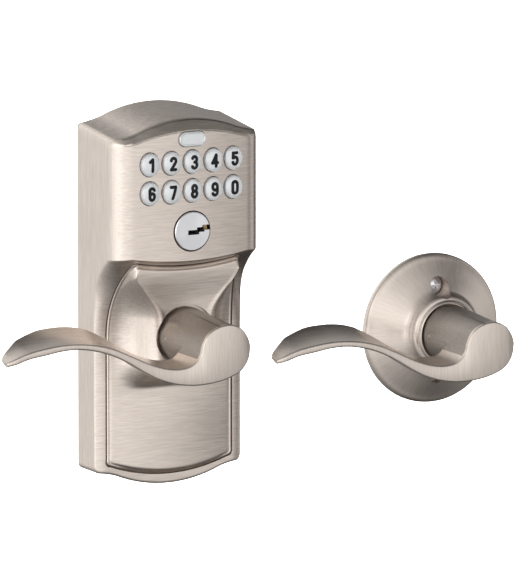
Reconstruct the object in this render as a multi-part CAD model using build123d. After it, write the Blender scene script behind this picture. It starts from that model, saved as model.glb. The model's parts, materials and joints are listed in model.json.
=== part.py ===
from build123d import *
import math
import os

os.makedirs("parts", exist_ok=True)

# Keypad entry lever set: an exterior keypad escutcheon and an interior rose, side by side on
# one door face.  Millimetres.  X to the right, Y into the door, Z up; the lock faces -Y.
# The origin is the exterior lever's axis on the door face.  "Depth" is the distance that
# something stands out from the door face, so a depth D lies at y = -D.

# ---- driving dimensions ----------------------------------------------------------------
HALF_WIDTH = 35.0            # escutcheon half width
TOP_Z = 96.8                 # crown of the top arch above the lever axis
BOTTOM_Z = -65.7             # lowest point of the bottom arch
ARCH_R = 62.0                # convex middle of both arches
SHOULDER_R = 31.5            # concave shoulders of both arches
CORNER_R = 2.5
GASKET_T = 1.0
BORDER_DEPTH = 17.4          # front of the lower frame
SWEEP_R = 42.0               # concave sweep from the frame up to the keypad
FACE_DEPTH = 38.6            # keypad face on the centre line
FACE_CROWN_R = 236.0         # the keypad face is slightly crowned from side to side
SIDE_FILLET_R = 8.0          # round between keypad face and sides
SWEEP_TOP = 37.0             # the sweep has passed the keypad face below this height
SMILE_SAG = 3.2              # the keypad's lower edge sags this much in the middle
ROOF_SLOPE = 0.105           # fall of the roof per millimetre of depth
BEVEL_START = 34.4           # depth where the roof turns into the bevel
BEVEL_SLOPE = 0.95
WALL = 2.6
FACE_WALL = 1.6              # the crowned keypad face is thinnest at its sides

PANEL_HALF = 30.4            # half width of the recessed-line panel at the lever and below
PANEL_TOP_HALF = 25.6
PANEL_TOP_Z = 33.2           # panel's upper corners
PANEL_TOP_SAG = 2.4
PANEL_BOTTOM_Z = -61.6
PANEL_SHOULDER_Z = -55.6
LINE_WIDTH = 1.0             # groove around the panel
LINE_DEPTH = 1.1
PAD_DEPTH = 33.0             # raised pad that carries the lever
PAD_HALF = 14.6
PANEL_CROWN = 3.0

KEY_PITCH_X = 9.85
KEY_ROW_Z = (75.8, 63.5)
KEY_LABELS = ("12345", "67890")
KEY_HALF = (4.2, 5.0)        # half width and half height of an oval key
KEY_PROUD = 2.0
KEY_DOME_R = 8.5
BADGE_Z = 85.5
BADGE_SIZE = (12.5, 6.1)
BADGE_PROUD = 1.2
FIT = 0.15                   # gap around keys
CAVITY_DEPTH = 35.5          # inside of the keypad face
LOW_CAVITY_DEPTH = 14.5      # inside of the lower panel

CYL_Z = 46.1                 # key cylinder axis
CYL_FACE_R = 8.3
CYL_BODY_R = 8.0
PLUG_R = 6.35
PIN_R = 1.4
PIN_DEPTHS = (33.0, 29.1, 25.2, 21.3, 17.4)

LEVER_LENGTH = 37.6          # hub base to front face
LEVER_BASE_R = 12.9
LEVER_FRONT_R = 11.0
LEVER_BORE_R = 9.55
LEVER_BORE_L = 19.6
BLADE_RISE = 0.08            # the blade's back edge is higher than its front edge
RECESS_R = 13.4
RECESS_DEPTH = 1.2
TUBE_R = 9.5                 # lever tube
DRUM_R = 11.2                # its inner end, where spring and clutch act
EXT_FRONT = 70.0             # front face of the exterior lever
INT_FRONT = 55.7             # front face of the interior lever
INT_X = 135.0                # interior lever axis
INT_Z = -12.4

BOLT_R = 19.05               # through bolts stand this far above and below a lever axis
BOLT_SHANK_R = 2.05
ROSE_R = 32.5
COLLAR_DEPTH = 18.7
RUN = 0.05                   # radial running clearance

CLUTCH_TRAVEL = 2.5
CLUTCH_PIN_OUT = 1.4
CLUTCH_PIN_DEPTH = 11.3
PINION_MODULE = 0.8
PINION_TEETH = 10
PINION_Z = 27.0
PINION_DEPTH = 8.0

PLATE_BACK = 1.2             # exterior mounting plate, back and front
PLATE_FRONT = 2.7
BOSS_R = 2.9                 # screw bosses inside the housing
BOSS_PLACES = ((-24.5, -47.0), (24.5, -47.0), (-29.2, 79.0), (29.2, 79.0))
POST_R = 4.0
POST_REACH = 12.0            # how far the posts reach into the door
FLANGE_FRONT = CAVITY_DEPTH - 0.2
FLANGE_T = 0.9
SHEET_DEPTH = (32.7, 33.3)   # elastomer sheet under the keys
BOARD_DEPTH = (31.1, 32.6)
CAGE_R = 14.2                # spring cage, clear of the through bolts
SCREW_REACH = 30.0           # how far the mounting screws reach into the door
SCREW_NECK_R = 1.95          # plain neck of a mounting screw under its head
EXT_BACK = 3.2               # inner end of the exterior lever tube
INT_BACK = 2.0
RING_DEPTH = 17.0


# ---- small helpers ---------------------------------------------------------------------
def slab(sketch, d0, d1):
    """A sketch of (x, z) made solid from depth d0 to depth d1."""
    return extrude(Plane.XZ.offset(d0) * sketch, amount=d1 - d0)


def disc(r, d0, d1, x=0.0, z=0.0):
    return slab(Pos(x, z) * Circle(r), d0, d1)


def ring(r_out, r_in, d0, d1, x=0.0, z=0.0):
    return slab(Pos(x, z) * (Circle(r_out) - Circle(r_in)), d0, d1)


def block(x0, x1, d0, d1, z0, z1):
    return Pos((x0 + x1) / 2, -(d0 + d1) / 2, (z0 + z1) / 2) * Box(x1 - x0, d1 - d0, z1 - z0)


def rect(x0, x1, z0, z1):
    return Pos((x0 + x1) / 2, (z0 + z1) / 2) * Rectangle(x1 - x0, z1 - z0)


def turned(profile, x=0.0, z=0.0):
    """A closed list of (radius, depth) corners turned about a line into the door."""
    points = [(r, -d) for r, d in profile]
    return Pos(x, 0, z) * revolve(make_face(Polyline(*points, close=True)), Axis.Y)


def rod_x(r, x0, x1, depth, z):
    return Pos((x0 + x1) / 2, -depth, z) * Rot(0, 90, 0) * Cylinder(r, x1 - x0)


def rod_z(r, z0, z1, x, depth):
    return Pos(x, -depth, (z0 + z1) / 2) * Cylinder(r, z1 - z0)


def joined(shapes):
    total = shapes[0]
    for shape in shapes[1:]:
        total = total + shape
    return total


def save(name, shape):
    solids = shape.solids()
    body = solids[0] if len(solids) == 1 else Compound(children=list(solids))
    body.label = name
    export_step(body, "parts/" + name + ".step")


# ---- escutcheon outline and front surfaces ---------------------------------------------
def arch(half, crown, sign):
    """Bracket-shaped arch from -half to +half: shoulder, crown and shoulder arcs."""
    reach = ARCH_R + SHOULDER_R
    turn = math.asin(half / reach)
    centre = crown - sign * ARCH_R
    knee = (ARCH_R * math.sin(turn), centre + sign * ARCH_R * math.cos(turn))
    shoulder = centre + sign * (reach * math.cos(turn) - SHOULDER_R)
    tangent = (math.cos(turn), -sign * math.sin(turn))
    middle = ThreePointArc((-knee[0], knee[1]), (0, crown), knee)
    right = TangentArc(knee, (half, shoulder), tangent=tangent)
    left = mirror(right, Plane.YZ)
    return [left, middle, right], shoulder


def outline():
    top, top_z = arch(HALF_WIDTH, TOP_Z, 1)
    bottom, bottom_z = arch(HALF_WIDTH, BOTTOM_Z, -1)
    sides = [Line((x, bottom_z), (x, top_z)) for x in (-HALF_WIDTH, HALF_WIDTH)]
    shape = make_face(top + bottom + sides)
    return fillet(shape.vertices().filter_by(lambda v: abs(abs(v.X) - HALF_WIDTH) < 0.01), CORNER_R)


def face_depth(x):
    return FACE_DEPTH - x * x / (2 * FACE_CROWN_R)


def sweep_depth(x, z):
    """Depth of the lower frame: flat, then a concave sweep that meets the keypad face."""
    sag = SMILE_SAG * max(0.0, 1 - (x / 27.5) ** 2)
    rise = min(max(z + sag, 0.0), SWEEP_R * 0.985)
    return BORDER_DEPTH + SWEEP_R - math.sqrt(SWEEP_R ** 2 - rise ** 2)


def smooth(t):
    t = min(max(t, 0.0), 1.0)
    return t * t * (3 - 2 * t)


def panel_half(z):
    """Half width of the panel at height z."""
    if z <= 0:
        return PANEL_HALF
    return PANEL_HALF - (PANEL_HALF - PANEL_TOP_HALF) * (z / PANEL_TOP_Z) ** 2


def panel_depth(x, z):
    """Depth of the panel: a raised pad for the lever with coved flanks, fading out below."""
    frame = min(sweep_depth(x, z), PAD_DEPTH + 2.5)
    edge = panel_half(z)
    spread = PAD_HALF + (edge - PAD_HALF) * smooth((z - 8) / 27)
    t = min(max((edge - abs(x)) / max(edge - spread, 0.5), 0.0), 1.0)
    fade = smooth((z + 44) / 30)
    crown = PANEL_CROWN * (1 - min(1.0, (x / edge) ** 2)) * (1 - smooth((z + 40) / 40))
    lift = max(PAD_DEPTH + 1.6 * smooth((z - 14) / 16) - frame, 0.0)
    return frame + crown + lift * fade * t ** 1.5 + 0.25


def front_solid(depth_of, x_half, z_low, z_high, columns, rows):
    """Everything behind a smooth front surface given by a depth formula."""
    grid = []
    for i in range(columns + 1):
        x = -x_half + 2 * x_half * i / columns
        line = []
        for j in range(rows + 1):
            z = z_low + (z_high - z_low) * j / rows
            line.append(Vector(x, -depth_of(x, z), z))
        grid.append(line)
    surface = Face.make_surface_from_array_of_points(grid, tol=0.02, max_deg=3)
    return extrude(surface, amount=80, dir=(0, 1, 0))


def panel_outline(inset=0.0):
    """The panel's outline, or the same shape drawn smaller all round by inset."""
    half = PANEL_HALF - inset
    top_half = PANEL_TOP_HALF - inset
    shoulder = PANEL_SHOULDER_Z + inset
    top_z = PANEL_TOP_Z - inset
    bottom = ThreePointArc((-half, shoulder), (0, PANEL_BOTTOM_Z + inset), (half, shoulder))
    top = ThreePointArc((-top_half, top_z), (0, top_z - PANEL_TOP_SAG), (top_half, top_z))
    right_low = Line((half, 0), (half, shoulder))
    right_high = Spline((half, 0), (panel_half(18) - inset, 18), (top_half, top_z),
                        tangents=[(0, 1), (-0.28, 1)])
    left_low = mirror(right_low, Plane.YZ)
    left_high = mirror(right_high, Plane.YZ)
    shape = make_face([bottom, top, right_low, right_high, left_low, left_high])
    return fillet(shape.vertices().filter_by(lambda v: abs(v.Y) > 20), 3.0 - inset)


def keypad_plan(half, fillet_r, depth_cut):
    """Cross-section of the keypad block seen from above: crowned front, rounded edges."""
    def front(x):
        return face_depth(x) - depth_cut
    edge = half - fillet_r
    knee = front(edge)
    crown = ThreePointArc((-edge, -knee), (0, -front(0)), (edge, -knee))
    slope = edge / FACE_CROWN_R
    right = TangentArc((edge, -knee), (half, -(knee - fillet_r)), tangent=(1, slope))
    left = mirror(right, Plane.YZ)
    walls = [Line((x, -(knee - fillet_r)), (x, 5)) for x in (-half, half)]
    back = Line((-half, 5), (half, 5))
    return make_face([crown, right, left, back] + walls)


def housing_outside():
    shape = slab(outline(), GASKET_T, 50)
    roof = Plane.XZ * outline()
    deep = Pos(0, 0, -40) * roof
    tall = extrude(roof, amount=60, dir=(0, -1, -ROOF_SLOPE))
    tall = tall + extrude(deep, amount=60, dir=(0, -1, -ROOF_SLOPE))
    shape = shape & tall
    start_z = -ROOF_SLOPE * BEVEL_START
    bevel = Pos(0, -BEVEL_START, start_z) * roof
    low_bevel = Pos(0, -BEVEL_START, start_z - 40) * roof
    cap = extrude(bevel, amount=12, dir=(0, -1, -BEVEL_SLOPE))
    cap = cap + extrude(low_bevel, amount=12, dir=(0, -1, -BEVEL_SLOPE))
    shape = shape & (cap + block(-40, 40, 0, BEVEL_START, -110, 110))
    plan = extrude(keypad_plan(HALF_WIDTH, SIDE_FILLET_R, 0.0), amount=240)
    shape = shape & (Pos(0, 0, -110) * plan)
    frame_front = front_solid(sweep_depth, 37, -70, SWEEP_TOP, 24, 60)
    return shape & (frame_front + block(-40, 40, -20, 60, SWEEP_TOP, 110))


def housing():
    outside = housing_outside()
    low = slab(panel_outline(), 1.0, 50)
    line_floor = front_solid(lambda x, z: sweep_depth(x, z) - LINE_DEPTH, 37, -70, SWEEP_TOP, 24, 60)
    front = front_solid(panel_depth, 33, -68, SWEEP_TOP, 44, 70)
    solid = (outside - low) + (low & line_floor) + (slab(panel_outline(LINE_WIDTH), 1.0, 50) & front)
    solid = solid - housing_cavity() - housing_openings()
    return solid + screw_bosses()


def cavity_roof(margin):
    """Outline inside the roof, allowing for its fall toward the face."""
    return offset(outline(), amount=-margin) & rect(-40, 40, -70, TOP_Z - margin - 3.4)


def housing_cavity():
    low = slab(offset(outline(), amount=-WALL), 0, LOW_CAVITY_DEPTH) & block(-40, 40, 0, 40, -70, 60)
    plan = extrude(keypad_plan(HALF_WIDTH - WALL, SIDE_FILLET_R - WALL, FACE_WALL), amount=80)
    rim = slab(offset(outline(), amount=-WALL), 0, 3.0)
    high = (Pos(0, 0, 37.5) * plan) & slab(Pos(0, -3.6) * offset(outline(), amount=-WALL), 0, CAVITY_DEPTH)
    return low + high + rim


def key_places():
    for row, labels in enumerate(KEY_LABELS):
        for column, label in enumerate(labels):
            yield label, (column - 2) * KEY_PITCH_X, KEY_ROW_Z[row]


def housing_openings():
    cuts = [slab(Pos(x, z) * Ellipse(KEY_HALF[0] + FIT, KEY_HALF[1] + FIT), 30, 45)
            for _, x, z in key_places()]
    badge = SlotOverall(BADGE_SIZE[0] + 2 * FIT, BADGE_SIZE[1] + 2 * FIT)
    cuts.append(slab(Pos(0, BADGE_Z) * badge, 30, 45))
    cuts.append(disc(CYL_FACE_R + 0.25, 30, 45, 0, CYL_Z))
    cuts.append(disc(DRUM_R, 10, 45))
    cuts.append(disc(RECESS_R, PAD_DEPTH - RECESS_DEPTH, 45))
    return joined(cuts)


def screw_bosses():
    posts = []
    for x, z in BOSS_PLACES:
        front = CAVITY_DEPTH - 1.0 if z > 0 else LOW_CAVITY_DEPTH + 0.5
        posts.append(disc(BOSS_R, PLATE_FRONT, front, x, z) - disc(1.5, 0, 12, x, z))
    return joined(posts)


# ---- exterior: casing and fixing -------------------------------------------------------
def exterior_gasket():
    frame = offset(outline(), amount=-0.6) - offset(outline(), amount=-3.4)
    shape = slab(frame, 0, GASKET_T)
    for x, z in BOSS_PLACES:
        shape = shape - disc(3.2, -1, 2, x, z)
    return shape


def exterior_plate():
    shape = slab(offset(outline(), amount=-WALL - 0.3), PLATE_BACK, PLATE_FRONT)
    shape = shape - disc(7.5, 0, 5) - disc(5.0, 0, 5, 20, 8)
    for sign in (-1, 1):
        shape = shape - disc(POST_R + 0.02, 0, 5, 0, sign * BOLT_R)
    for x, z in BOSS_PLACES:
        shape = shape - disc(1.7, 0, 5, x, z)
    return shape


def through_bolt_posts():
    posts = []
    for sign in (-1, 1):
        z = sign * BOLT_R
        post = ring(POST_R, BOLT_SHANK_R, -POST_REACH, PLATE_FRONT, 0, z)
        posts.append(post + ring(POST_R + 1.2, BOLT_SHANK_R, 0.2, PLATE_BACK, 0, z))
    return joined(posts)


def housing_screws():
    screws = []
    for x, z in BOSS_PLACES:
        head = disc(2.8, 0.2, PLATE_BACK, x, z) - block(x - 0.4, x + 0.4, 0.1, 0.7, z - 2, z + 2)
        screws.append(head + disc(1.45, PLATE_BACK, 10.5, x, z))
    return joined(screws)


# ---- exterior: keypad ------------------------------------------------------------------
def key(x, z):
    """Oval key: domed top, straight skirt, retaining flange and a pocket over the rubber dome."""
    a, b = KEY_HALF
    top = face_depth(x) + KEY_PROUD
    body = slab(Ellipse(a, b), FLANGE_FRONT - 0.2, top + 1)
    body = body & (Pos(0, KEY_DOME_R - top, 0) * Sphere(KEY_DOME_R))
    body = body + slab(Ellipse(a + 0.45, b + 0.6), FLANGE_FRONT - FLANGE_T, FLANGE_FRONT)
    return Pos(x, 0, z) * (body - disc(2.1, 30, FLANGE_FRONT + 0.2))


def program_button():
    width, height = BADGE_SIZE
    body = slab(SlotOverall(width, height), FLANGE_FRONT - 0.2, FACE_DEPTH + BADGE_PROUD)
    body = chamfer(body.edges().group_by(Axis.Y)[0], 0.5)
    body = body + slab(SlotOverall(width + 0.9, height + 0.9), FLANGE_FRONT - FLANGE_T, FLANGE_FRONT)
    return Pos(0, 0, BADGE_Z) * (body - disc(1.9, 30, FLANGE_FRONT + 0.2))


def keypad_area(margin):
    return rect(-26.0 + margin, 26.0 - margin, 57.0 + margin, 96) & cavity_roof(6.2 + margin)


def keypad_membrane():
    sheet = slab(keypad_area(0.5), *SHEET_DEPTH)
    domes = [disc(1.7, SHEET_DEPTH[1], SHEET_DEPTH[1] + 0.9, x, z) for _, x, z in key_places()]
    domes.append(disc(1.5, SHEET_DEPTH[1], SHEET_DEPTH[1] + 0.9, 0, BADGE_Z))
    return joined([sheet] + domes)


def keypad_board():
    board = slab(keypad_area(0.0), *BOARD_DEPTH)
    chips = [block(x, x + 5, BOARD_DEPTH[0] - 1.2, BOARD_DEPTH[0], 61, 66) for x in (-14, 9)]
    return joined([board] + chips)


def control_board():
    board = block(-25, 25, 23.6, 25.2, 63, 84)
    chips = [block(-9, 1, 25.2, 26.6, 68, 78), block(8, 15, 25.2, 27.4, 66, 71),
             block(-21, -14, 25.2, 28.5, 74, 81)]
    return joined([board] + chips)


def battery():
    body = block(-22.4, 24.2, 4.6, 22.0, 58.2, 84.4)
    body = fillet(body.edges().filter_by(Axis.X), 2.0)
    snaps = [rod_x(2.8, -24.2, -22.4, 13.3, z) for z in (65.0, 77.6)]
    return joined([body] + snaps)


def battery_tray():
    base = block(-25.6, 25.6, 3.2, 4.4, 56.8, 84.8)
    sides = [block(x, x + 1.0, 4.4, 14, 57.5, 83.8) for x in (-25.6, 24.6)]
    shelf = block(-25.6, 25.6, 4.4, 20, 56.8, 57.8)
    return joined([base, shelf] + sides)


# ---- exterior: key cylinder ------------------------------------------------------------
def cylinder_body():
    shape = disc(CYL_BODY_R, 8, 36.9, 0, CYL_Z)
    shape = shape + block(-17, -3, 12, 35.2, CYL_Z - 3.9, CYL_Z + 3.9)
    shape = shape - disc(PLUG_R + RUN, 5, 40, 0, CYL_Z)
    for depth in PIN_DEPTHS:
        shape = shape - rod_x(PIN_R + 0.1, -15.6, 0, depth, CYL_Z)
    return shape


def keyway():
    """Stepped slot from the plug's centre to its right edge."""
    left = rect(-2.2, 3.0, -1.5, 0.5)
    middle = rect(2.0, 5.6, -0.5, 1.5)
    right = rect(4.6, CYL_FACE_R + 1, 0.2, 2.4)
    return Pos(0, CYL_Z) * (left + middle + right)


def cylinder_plug():
    shape = disc(CYL_FACE_R, 37.0, 39.3, 0, CYL_Z)
    shape = chamfer(shape.edges().group_by(Axis.Y)[0], 0.35)
    shape = shape + disc(PLUG_R, 7.0, 37.0, 0, CYL_Z)
    shape = shape - slab(keyway(), 13, 45)
    for depth in PIN_DEPTHS:
        shape = shape - rod_x(PIN_R + 0.1, -8, -1.5, depth, CYL_Z)
    return shape - ring(9, PLUG_R - 0.7, 7.0, 7.9, 0, CYL_Z)


def pin_row(x0, x1, r):
    return joined([rod_x(r, x0, x1, depth, CYL_Z) for depth in PIN_DEPTHS])


def pin_springs():
    coils = []
    for depth in PIN_DEPTHS:
        for turn in range(5):
            coil = Rot(0, 90, 0) * Torus(PIN_R - 0.35, 0.2)
            coils.append(Pos(-14.8 + 0.8 * turn, -depth, CYL_Z) * coil)
    return joined(coils)


def plug_clip():
    shape = ring(7.6, PLUG_R - 0.6, 7.1, 7.8, 0, CYL_Z)
    return shape - block(-1.5, 1.5, 6, 9, CYL_Z - 9, CYL_Z - 3)


def tailpiece():
    bar = block(-3.2, 3.2, 3.4, 7.0, CYL_Z - 0.9, CYL_Z + 0.9)
    cam = slab(Pos(0, CYL_Z) * (Circle(4.0) + rect(-2.0, 2.0, 0, 7.5)), 3.4, 5.2)
    return bar + cam


# ---- exterior: motor clutch ------------------------------------------------------------
def clutch_chassis():
    base = block(-27.5, 11.2, 2.9, 4.0, 22.4, 35.5)
    guide = block(9.3, 10.8, 4.0, 14.0, 22.4, 35.0)
    wall = block(-10.9, -9.4, 4.0, 14.0, 22.4, 35.0)
    saddle = block(-27.5, -26.2, 4.0, 11.0, 22.4, 31.6)
    shape = base + guide + wall + saddle
    shape = shape - rod_x(1.2, -12, -8, PINION_DEPTH, PINION_Z)
    return shape - rod_x(5.1, -9.0, -3.8, PINION_DEPTH, PINION_Z)


def clutch_motor():
    can = block(-26.0, -11.0, 4.2, 11.8, 22.6, 31.4)
    can = fillet(can.edges().filter_by(Axis.X), 1.8)
    return can + rod_x(0.75, -11.0, -10.4, PINION_DEPTH, PINION_Z)


def gear_profile():
    """Spur pinion with straight-flanked teeth, one of them pointing toward the rack."""
    pitch_r = PINION_MODULE * PINION_TEETH / 2
    root_r = pitch_r - 1.2 * PINION_MODULE
    tip_r = pitch_r + 0.85 * PINION_MODULE
    shape = Circle(root_r)
    for i in range(PINION_TEETH):
        tooth = make_face(Polyline((root_r - 0.4, 0.85), (pitch_r, 0.50), (tip_r, 0.18),
                                   (tip_r, -0.18), (pitch_r, -0.50), (root_r - 0.4, -0.85), close=True))
        shape = shape + Rot(0, 0, 360 * i / PINION_TEETH) * tooth
    return shape


def clutch_pinion():
    gear = extrude(Plane.YZ.offset(-8.6) * gear_profile(), amount=4.4)
    gear = gear + extrude(Plane.YZ.offset(-10.1) * Circle(0.75), amount=1.6)
    return Pos(0, -PINION_DEPTH, PINION_Z) * gear


def clutch_slider():
    plate = block(-9.0, 9.0, 13.0, 14.2, 15.2, 33.0)
    pitch = math.pi * PINION_MODULE
    pitch_depth = PINION_DEPTH + PINION_MODULE * PINION_TEETH / 2
    teeth = []
    for i in range(-2, 2):
        z = PINION_Z + (i + 0.5) * pitch
        tip = pitch_depth - 0.85 * PINION_MODULE
        tooth = make_face(Polyline((-13.1, z + 0.95), (-pitch_depth, z + 0.50), (-tip, z + 0.2),
                                   (-tip, z - 0.2), (-pitch_depth, z - 0.50), (-13.1, z - 0.95), close=True))
        teeth.append(Pos(-8.4, 0, 0) * extrude(Plane.YZ * tooth, amount=4.0))
    shoe = Pos(0, CLUTCH_TRAVEL) * ((Circle(15.6) - Circle(DRUM_R + 0.4)) & wedge(54))
    return joined([plate, slab(shoe, 9.3, 13.3)] + teeth)


def wedge(half_angle):
    reach = 60.0
    x = reach * math.sin(math.radians(half_angle))
    z = reach * math.cos(math.radians(half_angle))
    return make_face(Polyline((0, 0), (x, z), (-x, z), close=True))


def clutch_pin():
    top = DRUM_R + CLUTCH_PIN_OUT
    return rod_z(1.5, 5.4, top, 0, CLUTCH_PIN_DEPTH)


# ---- lever drive, both sides -----------------------------------------------------------
def spring_cage(x, z, back):
    cup = ring(CAGE_R, DRUM_R + 0.35, back, back + 0.7, x, z)
    return cup + ring(CAGE_R, CAGE_R - 0.6, back + 0.7, back + 5.4, x, z)


def return_spring(x, z, back):
    """Torsion spring drawn as closed coils."""
    coils = [Pos(x, -(back + 1.4 + 1.25 * i), z) * Rot(90, 0, 0) * Torus(12.45, 0.55) for i in range(3)]
    return joined(coils)


def lever_tube(x, z, back, front, bore_r, ring_depth=None):
    drum_front = back + 10.6
    shape = ring(DRUM_R, bore_r, back, drum_front, x, z) + ring(TUBE_R, bore_r, drum_front, front, x, z)
    shape = shape + block(x - 2.0, x + 2.0, back + 5.0, back + 5.9, z - DRUM_R - 1.9, z - DRUM_R + 0.5)
    if ring_depth is None:
        return shape
    shape = shape - ring(TUBE_R + 1, TUBE_R - 0.8, ring_depth, ring_depth + 1.0, x, z)
    return shape - rod_z(1.55, 4.0, DRUM_R + 1, x, CLUTCH_PIN_DEPTH)


def retaining_ring(x, z, depth):
    shape = ring(10.8, TUBE_R - 0.75, depth + 0.05, depth + 0.95, x, z)
    return shape - block(x - 2.5, x + 2.5, depth - 1, depth + 2, z - 12, z - 4)


def lever_outline():
    """Front face of the lever: hub disc on the right, wave-shaped blade to the left."""
    top = Spline((-103.8, 0.9), (-93.7, 4.9), (-77.0, 7.7), (-60.8, 6.5), (-44.4, 0.4),
                 (-30.0, -5.6), (-20.0, -6.6), (-13.4, -3.4), (-10.9, 2.6))
    crown = ThreePointArc((-10.9, 2.6), (1.2, 10.6), (11.2, -1.0))
    bottom = Spline((11.2, -1.0), (8.2, -9.2), (0.8, -13.0), (-15.6, -14.6), (-32.0, -10.6),
                    (-47.7, -1.3), (-58.5, 3.0), (-70.0, 5.0), (-85.5, 3.7), (-103.2, -0.6))
    tip = ThreePointArc((-103.8, 0.9), (-104.4, 0.0), (-103.2, -0.6))
    return make_face([top, crown, bottom, tip])


def lever_plan():
    """Lever seen from above, as (x, distance behind the front face)."""
    front = Polyline((14, 19.6), (14, -3), (-92.0, -3))
    nose = Spline((-92.0, -3), (-101.0, -0.6), (-104.3, 3.2), (-102.0, 7.6), (-92.0, 13.6), (-80.0, 20.3),
                  (-68.0, 25.4), (-57.0, 27.0), (-45.0, 25.6), (-30.0, 21.6), (-16.0, 19.6), (0, 19.6),
                  tangents=[(-1, 0), (1, 0)])
    back = Line((0, 19.6), (14, 19.6))
    return make_face([front, nose, back])


def lever(x, z, front):
    band = Plane.XZ * lever_outline()
    body = extrude(band, amount=29, dir=(0, 1, BLADE_RISE))
    body = body & (Pos(0, 0, -22) * extrude(lever_plan(), amount=50))
    base = LEVER_LENGTH
    cone = turned([(0, 0), (LEVER_FRONT_R, 0), (LEVER_BASE_R, -base), (0, -base)])
    body = body + cone
    body = body - disc(LEVER_BORE_R, -base - 1, -base + LEVER_BORE_L)
    body = body - rod_x(1.1, -14, -8, -(base - 5.0), 0.8)
    return Pos(x, -front, z) * body


def lever_catch(x, z, front):
    depth = front - LEVER_LENGTH + 5.0
    return rod_x(0.95, x - 12.3, x - TUBE_R - 0.05, depth, z + 0.8)


def exterior_spindle():
    round_part = disc(5.0, 4.0, 38.0)
    tail = slab(Rectangle(7.9, 7.9) & Circle(5.0), -38.0, 4.0)
    return round_part + tail - block(-2.0, 2.0, 9.4, 13.2, 3.4, 6)


def exterior_bushing():
    return ring(DRUM_R - 0.03, TUBE_R + RUN, 20.0, PAD_DEPTH - RECESS_DEPTH - 0.3)


# ---- interior half ---------------------------------------------------------------------
def interior_rose():
    outer = [(0, 0), (ROSE_R, 0), (ROSE_R, 1.9), (ROSE_R - 0.7, 2.9), (29.6, 4.3), (25.0, 7.1),
             (20.6, 9.6), (17.6, 11.4), (16.2, 13.0), (15.6, 15.0), (15.3, 16.1), (14.6, 16.6),
             (14.2, 16.7), (14.1, 17.9), (13.8, 18.5), (13.5, COLLAR_DEPTH), (0, COLLAR_DEPTH)]
    inner = [(0, -1), (30.6, -1), (30.6, 2.2), (25.0, 5.2), (20.6, 7.4), (15.2, 9.6), (13.2, 12.0),
             (13.2, 13.6), (0, 13.6)]
    shape = turned(outer, INT_X, INT_Z) - turned(inner, INT_X, INT_Z)
    shape = shape - disc(DRUM_R, 10, 25, INT_X, INT_Z)
    shape = shape - disc(13.2, COLLAR_DEPTH - 1.3, 25, INT_X, INT_Z)
    for sign in (-1, 1):
        z = INT_Z + sign * BOLT_R
        well = disc(4.3, 0, 20, INT_X, z)
        seat = disc(4.8, 4.6, 9.4, INT_X, z) & turned(outer, INT_X, INT_Z)
        shape = (shape + seat) - well
    return shape


def interior_plate():
    shape = disc(29.8, 0.2, 1.8, INT_X, INT_Z) - disc(7.5, 0, 3, INT_X, INT_Z)
    for sign in (-1, 1):
        shape = shape - disc(BOLT_SHANK_R + 0.3, 0, 3, INT_X, INT_Z + sign * BOLT_R)
    return shape


def mounting_screws():
    screws = []
    for sign in (-1, 1):
        z = INT_Z + sign * BOLT_R
        shank = disc(BOLT_SHANK_R, -SCREW_REACH, -0.5, INT_X, z) + disc(SCREW_NECK_R, -0.5, 4.4, INT_X, z)
        head = disc(3.9, 1.9, 4.4, INT_X, z)
        dome = Pos(INT_X, -4.3, z) * revolve(make_face([Line((0, 0), (3.9, 0)), ThreePointArc(
            (3.9, 0), (2.2, -1.45), (0, -2.0)), Line((0, -2.0), (0, 0))]), Axis.Y)
        cross = rect(-2.3, 2.3, -0.45, 0.45) + rect(-0.45, 0.45, -2.3, 2.3)
        screws.append(shank + head + dome - slab(Pos(INT_X, z) * cross, 4.4, 9))
    return joined(screws)


def interior_bushing():
    return ring(DRUM_R - 0.03, TUBE_R + RUN, 13.8, COLLAR_DEPTH - 1.4, INT_X, INT_Z)


def interior_spindle_socket():
    outside = disc(5.6, 0.4, 30.0, INT_X, INT_Z)
    return outside - slab(Pos(INT_X, INT_Z) * Rectangle(8.0, 8.0), 0, 22)


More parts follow.
